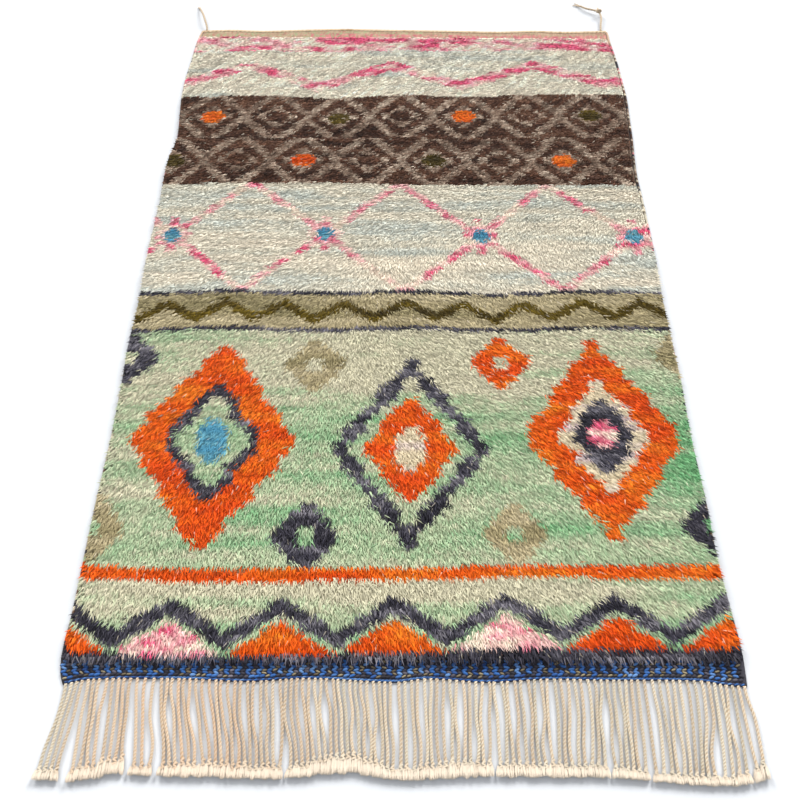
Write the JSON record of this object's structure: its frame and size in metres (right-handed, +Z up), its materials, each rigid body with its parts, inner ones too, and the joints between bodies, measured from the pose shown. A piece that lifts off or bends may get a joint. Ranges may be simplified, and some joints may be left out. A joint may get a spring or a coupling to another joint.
{
  "type": "knotted wool pile rug with fringe",
  "caption": "Rectangular hand-knotted wool pile rug lying flat, with flat-woven end bands, corded sides, a knotted cord fringe at the foot and a loose tie at each head corner.",
  "frame": {"origin": "on the floor, under the centre of the rug's box with its fringe and without its two ties", "axes": "+Z up from the floor; +Y up the rug from the fringe to the head edge; +X to the right, seen from the fringe"},
  "size_m": [1.5408, 2.8734, 0.0255],
  "materials": {
    "ground_wool": "woven wool ground, the knots' backs showing the design",
    "pile_wool": "cut wool pile in many dyed colours, nap leaning to the foot",
    "band_wool": "twined blue and charcoal wool",
    "plain_wool": "plain-woven undyed wool with pink and green flecks",
    "side_wool": "overcast charcoal wool",
    "warp_cord": "two-ply undyed warp cord, matt"
  },
  "bodies": {
    "root": {"ground_cloth": "ground_wool", "pile_field": "pile_wool", "foot_band": "band_wool", "head_band": "plain_wool", "heading_cord": "warp_cord", "selvedge_left": "side_wool", "selvedge_right": "side_wool", "fringe": "warp_cord", "corner_tie_left": "warp_cord", "corner_tie_right": "warp_cord"}
  },
  "joints": []
}
